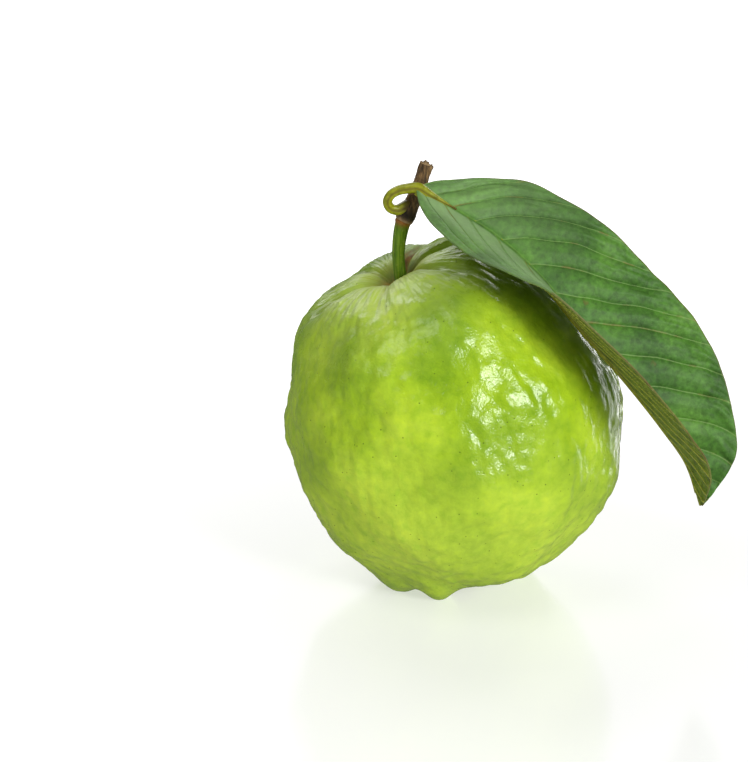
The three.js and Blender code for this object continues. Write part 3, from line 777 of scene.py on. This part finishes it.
def leaf_upper():
    """A thin waxy cuticle over deep green: a dull shine, and veins that are pale lines."""
    material, tree, place = new_material("waxy_leaf_upper_face")
    to_vein, midrib, mesh_line, margin, net = vein_lines(tree)
    # Broad patches of 14 mm, with a fine mottling of 1.4 mm over them
    broad = add(tree, "ShaderNodeTexNoise", {"Vector": place, "Scale": rises(14), "Detail": 3})[0]
    body = add(tree, "ShaderNodeValToRGB", {"Fac": broad}, [
        (0.34, "#345a1c"), (0.5, "#416c22"), (0.66, "#507c2a"),
    ])["Color"]
    fine = add(tree, "ShaderNodeTexNoise", {"Vector": place, "Scale": rises(1.4), "Detail": 4})[0]
    fine_colour = add(tree, "ShaderNodeValToRGB", {"Fac": fine}, [
        (0.3, "#868686"), (0.7, "#f2f2f2"),
    ])["Color"]
    body = add(tree, "ShaderNodeMix", {0: 0.5, 6: body, 7: fine_colour},
               data_type="RGBA", blend_type="OVERLAY")[2]
    faint = add(tree, "ShaderNodeMath", {0: mesh_line, 1: 0.05}, operation="MULTIPLY")[0]
    body = add(tree, "ShaderNodeMix", {0: faint, 6: body, 7: linear("#7d9b55")},
               data_type="RGBA")[2]
    clear = add(tree, "ShaderNodeMapRange", {
        "Value": to_vein, "From Min": 0.04, "From Max": 0.01, "To Max": 0.45,
    })[0]
    body = add(tree, "ShaderNodeMix", {0: clear, 6: body, 7: linear("#86a35c")},
               data_type="RGBA")[2]
    # Painted sheen: pale grey-green beside the fold on the half that turns to the viewer, and
    # near the base on the other half, standing in for reflected light; it is weaker on the veins
    fold_sheen_paint = add(tree, "ShaderNodeAttribute", attribute_name="fold_sheen_paint")["Fac"]
    sheen_off_veins = add(tree, "ShaderNodeMapRange", {
        "Value": to_vein, "From Min": 0.02, "From Max": 0.1, "To Min": 0.25,
    })[0]
    fold_sheen_paint = add(tree, "ShaderNodeMath", {0: fold_sheen_paint, 1: sheen_off_veins}, operation="MULTIPLY")[0]
    body = add(tree, "ShaderNodeMix", {0: fold_sheen_paint, 6: body, 7: linear("#9ab582")},
               data_type="RGBA")[2]
    # Rust streaks, in patches beside some of the side veins
    beside = add(tree, "ShaderNodeMapRange", {
        "Value": to_vein, "From Min": 0.08, "From Max": 0.0,
    })[0]
    patches = add(tree, "ShaderNodeTexNoise", {
        "Vector": place, "Scale": rises(9), "Detail": 4, "Roughness": 0.7,
    })[0]
    patch = add(tree, "ShaderNodeMapRange", {
        "Value": patches, "From Min": 0.54, "From Max": 0.66,
    })[0]
    rust = add(tree, "ShaderNodeMath", {0: beside, 1: patch}, operation="MULTIPLY")[0]
    # A few rust spots of 1 mm between the veins
    cells = add(tree, "ShaderNodeTexVoronoi", {"Vector": place, "Scale": rises(9)})
    chosen = add(tree, "ShaderNodeSeparateColor", {"Color": cells["Color"]})[0]
    few = add(tree, "ShaderNodeMath", {0: chosen, 1: 0.16}, operation="LESS_THAN")[0]
    ragged = add(tree, "ShaderNodeMath", {0: fine, 1: 0.3, 2: cells["Distance"]},
                 operation="MULTIPLY_ADD")[0]
    spot = add(tree, "ShaderNodeMapRange", {
        "Value": ragged, "From Min": 0.25, "From Max": 0.17, "To Max": 0.45,
    })[0]
    spot = add(tree, "ShaderNodeMath", {0: spot, 1: few}, operation="MULTIPLY")[0]
    rust = add(tree, "ShaderNodeMath", {0: rust, 1: spot}, operation="MAXIMUM")[0]
    rust = add(tree, "ShaderNodeMath", {0: rust, 1: 0.65}, operation="MULTIPLY")[0]
    body = add(tree, "ShaderNodeMix", {0: rust, 6: body, 7: linear("#7f5e30")}, data_type="RGBA")[2]
    rib = add(tree, "ShaderNodeMath", {0: midrib, 1: 0.35}, operation="MULTIPLY")[0]
    body = add(tree, "ShaderNodeMix", {0: rib, 6: body, 7: linear("#6d9048")}, data_type="RGBA")[2]
    body = add(tree, "ShaderNodeMix", {0: margin, 6: body, 7: linear("#7b5a35")},
               data_type="RGBA")[2]
    relief = add(tree, "ShaderNodeMapRange", {"Value": net, "From Max": 0.25, "To Max": 0.2})[0]
    relief = add(tree, "ShaderNodeMath", {0: relief, 1: fine}, operation="ADD")[0]
    normal = add(tree, "ShaderNodeBump", {"Height": relief, "Distance": 0.1 * MM})[0]
    shader = add(tree, "ShaderNodeBsdfPrincipled", {
        "Base Color": body, "Roughness": 0.55, "IOR": 1.34, "Normal": normal,
    })[0]
    add(tree, "ShaderNodeOutputMaterial", {"Surface": shader})
    return material


def leaf_under():
    """Short down over olive green: next to no shine, and raised yellowish veins."""
    material, tree, place = new_material("downy_leaf_underside")
    to_vein, midrib, mesh_line, margin, _ = vein_lines(tree)
    fine = add(tree, "ShaderNodeTexNoise", {"Vector": place, "Scale": rises(2), "Detail": 4})[0]
    body = add(tree, "ShaderNodeValToRGB", {"Fac": fine}, [
        (0.3, "#4c5e0b"), (0.5, "#627510"), (0.7, "#7a8a22"),
    ])["Color"]
    faint = add(tree, "ShaderNodeMath", {0: mesh_line, 1: 0.12}, operation="MULTIPLY")[0]
    body = add(tree, "ShaderNodeMix", {0: faint, 6: body, 7: linear("#838f35")},
               data_type="RGBA")[2]
    raised = add(tree, "ShaderNodeMapRange", {
        "Value": to_vein, "From Min": 0.1, "From Max": 0.03,
    })[0]
    body = add(tree, "ShaderNodeMix", {0: raised, 6: body, 7: linear("#a4a83c")},
               data_type="RGBA")[2]
    body = add(tree, "ShaderNodeMix", {0: midrib, 6: body, 7: linear("#8f9030")},
               data_type="RGBA")[2]
    body = add(tree, "ShaderNodeMix", {0: margin, 6: body, 7: linear("#7b5a35")},
               data_type="RGBA")[2]
    relief = add(tree, "ShaderNodeMath", {0: mesh_line, 1: 0.5, 2: fine},
                 operation="MULTIPLY_ADD")[0]
    relief = add(tree, "ShaderNodeMath", {0: raised, 1: 1.5, 2: relief},
                 operation="MULTIPLY_ADD")[0]
    normal = add(tree, "ShaderNodeBump", {"Height": relief, "Distance": 0.25 * MM})[0]
    shader = add(tree, "ShaderNodeBsdfPrincipled", {
        "Base Color": body, "Roughness": 0.65, "IOR": 1.36, "Normal": normal,
        "Sheen Weight": 0.05, "Sheen Roughness": 0.5,
    })[0]
    add(tree, "ShaderNodeOutputMaterial", {"Surface": shader})
    return material


# %% Make the blade
BLADE_THICKNESS = 0.45
bm = bmesh.new()
bmesh.ops.create_grid(bm, x_segments=112, y_segments=330, size=1)
# The upper face is the one that looks out of the fold, so the grid is turned over
bmesh.ops.reverse_faces(bm, faces=bm.faces)
blade_mesh = start_mesh("leaf_blade", bm)
flat = points_of(blade_mesh)
across, share = flat[:, 0].copy(), (flat[:, 1] + 1) / 2
places = leaf_surface(share, across)
places += leaf_normal(share, across) * leaf_relief(share, across)[:, None]
# Painted sheen on the blade: on the lower half beside the fold, and on the upper half near the base
lower_half_sheen = ease(-across, 0.03, 0.12) * (1 - 0.6 * ease(-across, 0.35, 0.75))
lower_half_sheen *= 1 - ease(share, 0.42, 0.6)
base_sheen = ease(across, 0.02, 0.1) * (1 - ease(share, 0.1, 0.45))
blade = finish_piece(blade_mesh, places, ["leaf"], [leaf_upper(), leaf_under()], {
    "vein_map": np.stack(vein_map(share, across), axis=1),
    "margin": ease(np.abs(across), 0.99, 1.0) * np.where((across < 0) & (share < 0.4), 0.1, 0.5),
    "fold_sheen_paint": 0.55 * lower_half_sheen + 0.22 * base_sheen,
})
leaf_thickness = blade.modifiers.new("leaf_thickness", "SOLIDIFY")
leaf_thickness.thickness = BLADE_THICKNESS * MM
leaf_thickness.offset = 0
leaf_thickness.material_offset = 1
leaf_thickness.material_offset_rim = 0
print("Width of the unfolded blade in mm:", 2 * HALF_WIDTH)

# %% [markdown]
# The leaf's shadow is painted onto the skin: the skin close to the blade is darkened to a deep
# green. How near each point of the skin is to the blade is measured once, against about two
# hundred points spread over the blade, and handed to the skin's material as a mark.

# %% Paint the leaf's shadow on the skin
# A step that doesn't fit the blade's rows, so that the points are spread over all of it
POINT_STEP = 173
skin_points = points_of(fruit_mesh)
to_leaf = np.full(len(skin_points), np.inf)
for leaf_point in points_of(blade_mesh)[::POINT_STEP]:
    to_leaf = np.minimum(to_leaf, np.linalg.norm(skin_points - leaf_point, axis=1))
# Painted shadow: strongest on the skin closest to the blade, fading out within about 9 mm
painted_leaf_shadow = (0.88 * bell(to_leaf / MM, 9)).astype(np.float32)
fruit_mesh.attributes.new("painted_leaf_shadow", "FLOAT", "POINT").data.foreach_set("value", painted_leaf_shadow)
print("Nearest the leaf comes to the skin in mm:", round(to_leaf.min() / MM, 1))

# %% [markdown]
# ## The leaf's stalk and midrib
# The leaf stalk curls right round before it reaches the blade. It is olive-yellow, smooth, with
# a groove along its upper side, and it runs on into the midrib. On the upper face the midrib is
# a low ridge that soon sinks into the fold, and below the blade it stands out as a rounded keel
# that thins towards the tip.

# %% Leaf stalk material
def olive_rib():
    """Smooth skin of an old leaf stalk: olive yellow in patches, with a clear narrow shine."""
    material, tree, place = new_material("olive_leaf_stalk")
    patchy = add(tree, "ShaderNodeTexNoise", {
        "Vector": place, "Scale": rises(1.65), "Detail": 5, "Roughness": 0.6,
    })[0]
    body = add(tree, "ShaderNodeValToRGB", {"Fac": patchy}, [
        (0.3, "#666b0c"), (0.5, "#868a14"), (0.7, "#9c9f28"),
    ])["Color"]
    furrow = add(tree, "ShaderNodeAttribute", attribute_name="furrow")["Fac"]
    body = add(tree, "ShaderNodeMix", {0: furrow, 6: body, 7: linear("#5a4a18")},
               data_type="RGBA")[2]
    normal = add(tree, "ShaderNodeBump", {"Height": patchy, "Distance": 0.12 * MM})[0]
    shader = add(tree, "ShaderNodeBsdfPrincipled", {
        "Base Color": body, "Roughness": 0.34, "IOR": 1.45, "Normal": normal,
    })[0]
    add(tree, "ShaderNodeOutputMaterial", {"Surface": shader})
    return material


# %% Make the leaf stalk and the midrib
LEAF_STALK_ROUTE = [
    (-14.1, -1.2, 104.0), (-15.6, -1.6, 103.6), (-17.4, -2.1, 104.3), (-18.1, -2.8, 106.2),
    (-17.2, -3.3, 108.1), (-15.4, -3.7, 109.3), (-13.1, -4.1, 109.9), (-10.3, -4.5, 110.2),
]
LEAF_STALK_RADIUS = 1.4
# The ridge on the blade sinks into the fold at this share of the midrib
RIDGE_END = 0.1
ridge = leaf_surface(np.array([0.03, 0.06, RIDGE_END]), np.zeros(3))
inside_knot = (-12.4, -0.6, 104.6)
stalk_on_leaf, stalk_on_leaf_place = curve_through([inside_knot, *LEAF_STALK_ROUTE, *ridge])
blade_starts = 1 - RIDGE_END * midrib_length / stalk_on_leaf


def leaf_stalk_radius(share, angle):
    groove = 0.22 * bell(from_top(angle), 0.45)
    plain = LEAF_STALK_RADIUS - groove - 0.15 * bell(share - 0.3, 0.2) + 0.45 * bell(share, 0.09)
    return plain * (1 - 0.8 * ease(share, blade_starts, 1.0))


olive_finish = olive_rib()
leaf_stalk_mesh = straight_rod("leaf_stalk_curl", 48, 200)
rod = points_of(leaf_stalk_mesh)
# The furrow and both ends are browner
furrow_mark = 0.7 * bell(from_top(np.arctan2(rod[:, 1], rod[:, 0])), 0.3)
furrow_mark += bell(rod[:, 2] - 1, 0.09) + bell(rod[:, 2], 0.06)
finish_piece(leaf_stalk_mesh, bend(rod, stalk_on_leaf_place, leaf_stalk_radius), ["leaf"],
             [olive_finish], {"furrow": np.clip(furrow_mark, 0, 1)})

# The keel runs below the blade's middle surface and rises towards it
share, middle = np.linspace(0, 0.97, 25), np.zeros(25)
below = leaf_normal(share, middle) * (1.3 - 0.8 * share)[:, None]
keel_length, keel_place = curve_through(leaf_surface(share, middle) - below)
midrib_mesh = straight_rod("leaf_midrib_keel", 32, 240)
rod = points_of(midrib_mesh)
finish_piece(midrib_mesh, bend(rod, keel_place, lambda share, angle: 1.15 - 0.8 * share),
             ["leaf"], [olive_finish], {"furrow": np.zeros(len(rod))})
print("Keel length in mm:", round(keel_length, 1))

# %% [markdown]
# ## The calyx
# The blossom end keeps what is left of the flower: a dried button with five small sepals that
# curl outwards, brown and crumpled. It sits in a hollow between the swellings, so only a view
# from below shows it. A flattened sphere makes it, whose rim is pulled out in five points.

# %% Calyx material
def dried_calyx():
    """Dead flower tissue: papery browns, crumpled and without shine."""
    material, tree, place = new_material("dried_calyx")
    crumple = add(tree, "ShaderNodeTexNoise", {
        "Vector": place, "Scale": rises(1.1), "Detail": 5, "Roughness": 0.65,
    })[0]
    body = add(tree, "ShaderNodeValToRGB", {"Fac": crumple}, [
        (0.3, "#33240f"), (0.5, "#5d4424"), (0.7, "#8c7145"),
    ])["Color"]
    normal = add(tree, "ShaderNodeBump", {"Height": crumple, "Distance": 0.5 * MM})[0]
    shader = add(tree, "ShaderNodeBsdfPrincipled", {
        "Base Color": body, "Roughness": 0.85, "IOR": 1.45, "Normal": normal,
    })[0]
    add(tree, "ShaderNodeOutputMaterial", {"Surface": shader})
    return material


# %% Make the calyx
BUTTON_RADIUS, BUTTON_HEIGHT = 4.2, 5.6
bm = bmesh.new()
bmesh.ops.create_uvsphere(bm, u_segments=180, v_segments=60, radius=1)
calyx_mesh = start_mesh("calyx_crown", bm)
ball = points_of(calyx_mesh)
turn = np.arctan2(ball[:, 1], ball[:, 0])
out = np.hypot(ball[:, 0], ball[:, 1])
sepal = np.abs(np.cos(2.5 * turn)) ** 1.5
crumple = grown(ball, 0.3, 3, 2.0)
rim = ease(out, 0.75, 1.0)
reach = BUTTON_RADIUS * out + rim * sepal * 1.6 + 0.15 * crumple * out
sag = rim * sepal * 2.4
dimple = 0.5 * bell(out, 0.18) * (ball[:, 2] < 0)
height = BUTTON_HEIGHT + ball[:, 2] * (1.1 - 0.7 * rim) - sag + 0.2 * crumple - dimple
places = np.stack([reach * np.cos(turn), reach * np.sin(turn), height], axis=1)
finish_piece(calyx_mesh, places, ["calyx"], [dried_calyx()])

# %% [markdown]
# ## Floor, light and surroundings
# The fruit stands on a white sweep in a white room. The sweep glows faintly, so that it stays
# white to the edge of the picture while the fruit still casts a soft shadow. The main lamp
# stands to the right and in front, and gives the broken shine. A softbox high on the left fills
# the shoulder, and two from behind light the lobes round the stem. The room itself is dim, so
# that the greens stay deep, apart from the wall behind and two white strips low on the right,
# which draw bright lines on that side.

# %% Floor and lights
bm = bmesh.new()
bmesh.ops.create_circle(bm, cap_ends=True, segments=96, radius=6)
floor_mesh = start_mesh("floor", bm)
floor = bpy.data.objects.new("floor", floor_mesh)
bpy.context.scene.collection.objects.link(floor)
floor_material, floor_tree, floor_place = new_material("white_sweep")
# The glow grows with the distance from the fruit, so that the far sweep is white all round
from_fruit = add(floor_tree, "ShaderNodeVectorMath", {0: floor_place}, operation="LENGTH")["Value"]
glow = add(floor_tree, "ShaderNodeMapRange", {
    "Value": from_fruit, "From Min": 0.06, "From Max": 0.35, "To Min": 0.54, "To Max": 0.95,
})[0]
floor_shader = add(floor_tree, "ShaderNodeBsdfPrincipled", {
    "Base Color": linear("#b6b6b4"), "Roughness": 0.16, "IOR": 1.6,
    "Emission Color": (1, 1, 1, 1), "Emission Strength": glow,
})[0]
add(floor_tree, "ShaderNodeOutputMaterial", {"Surface": floor_shader})
floor_mesh.materials.append(floor_material)
# Black cards keep the white sweep out of the shine of the skin
floor.visible_glossy = False


FRUIT_MIDDLE = Vector((-0.013, 0, 0.045))


def aim_lamp(name, kind, bearing, elevation, distance=1.3):
    """Adds a lamp that faces the fruit. bearing is degrees to the right of the viewer."""
    lamp = bpy.data.lights.new(name, kind)
    holder = bpy.data.objects.new(name, lamp)
    bpy.context.scene.collection.objects.link(holder)
    level, up = math.radians(bearing), math.radians(elevation)
    way = Vector((math.cos(up) * math.sin(level), -math.cos(up) * math.cos(level), math.sin(up)))
    holder.location = FRUIT_MIDDLE + way * distance
    holder.rotation_euler = (-way).to_track_quat("-Z", "Y").to_euler()
    return lamp


def softbox(name, bearing, elevation, width, height, radiance):
    lamp = aim_lamp(name, "AREA", bearing, elevation)
    lamp.shape = "RECTANGLE"
    lamp.size, lamp.size_y = width, height
    lamp.energy = radiance * math.pi * width * height


# The main lamp stands so far back that it lights the whole sweep evenly, like a wide soft sun
main_lamp = aim_lamp("main_lamp", "SUN", bearing=38, elevation=22)
main_lamp.angle = math.radians(19)
main_lamp.energy = 2.6
softbox("overhead_softbox", -45, 52, width=0.55, height=0.55, radiance=4.6)
softbox("back_right_softbox", 150, 33, width=0.36, height=0.36, radiance=8)
softbox("back_left_softbox", -150, 35, width=0.6, height=0.6, radiance=4.2)

world = bpy.data.worlds.new("studio")
bpy.context.scene.world = world
world.use_nodes = True
room = world.node_tree
room.nodes.clear()
rays = add(room, "ShaderNodeLightPath")
way = add(room, "ShaderNodeTexCoord")["Generated"]
to_side, to_back, up = add(room, "ShaderNodeSeparateXYZ", {"Vector": way})
# The wall behind: bright low down, above the sweep
sideways = add(room, "ShaderNodeMath", {0: to_side}, operation="ABSOLUTE")[0]
middle = add(room, "ShaderNodeMapRange", {"Value": sideways, "From Min": 0.3, "From Max": 0.15})[0]
low = add(room, "ShaderNodeMapRange", {"Value": up, "From Min": 0.6, "From Max": 0.45})[0]
wall = add(room, "ShaderNodeMath", {0: middle, 1: low}, operation="MULTIPLY")[0]
for level in (to_back, up):
    in_reach = add(room, "ShaderNodeMath", {0: level, 1: 0.0}, operation="GREATER_THAN")[0]
    wall = add(room, "ShaderNodeMath", {0: wall, 1: in_reach}, operation="MULTIPLY")[0]
# Two white strips low on the right, a little behind, which draw the bright lines on that side
STRIPS_BEARING, STRIP_OFFSET = math.radians(44), 0.19
from_strip = add(room, "ShaderNodeMath", {0: to_side, 1: to_back}, operation="ARCTAN2")[0]
for turn in (STRIPS_BEARING, STRIP_OFFSET):
    from_strip = add(room, "ShaderNodeMath", {0: from_strip, 1: turn}, operation="SUBTRACT")[0]
    from_strip = add(room, "ShaderNodeMath", {0: from_strip}, operation="ABSOLUTE")[0]
strips = add(room, "ShaderNodeMapRange", {
    "Value": from_strip, "From Min": 0.05, "From Max": 0.03,
})[0]
for edge, full in ((0.2, 0.1), (-0.42, -0.32)):
    height = add(room, "ShaderNodeMapRange", {"Value": up, "From Min": edge, "From Max": full})[0]
    strips = add(room, "ShaderNodeMath", {0: strips, 1: height}, operation="MULTIPLY")[0]
ROOM, WALL, STRIPS = 0.13, 0.8, 7.0
lit = add(room, "ShaderNodeMath", {0: wall, 1: WALL, 2: ROOM}, operation="MULTIPLY_ADD")[0]
lit = add(room, "ShaderNodeMath", {0: strips, 1: STRIPS, 2: lit}, operation="MULTIPLY_ADD")[0]
strength = add(room, "ShaderNodeMix", {0: rays["Is Camera Ray"], 2: lit, 3: 1.0})[0]
white = add(room, "ShaderNodeBackground", {"Color": (1, 1, 1, 1), "Strength": strength})[0]
add(room, "ShaderNodeOutputWorld", {"Surface": white})
bpy.context.scene.view_settings.view_transform = "Standard"
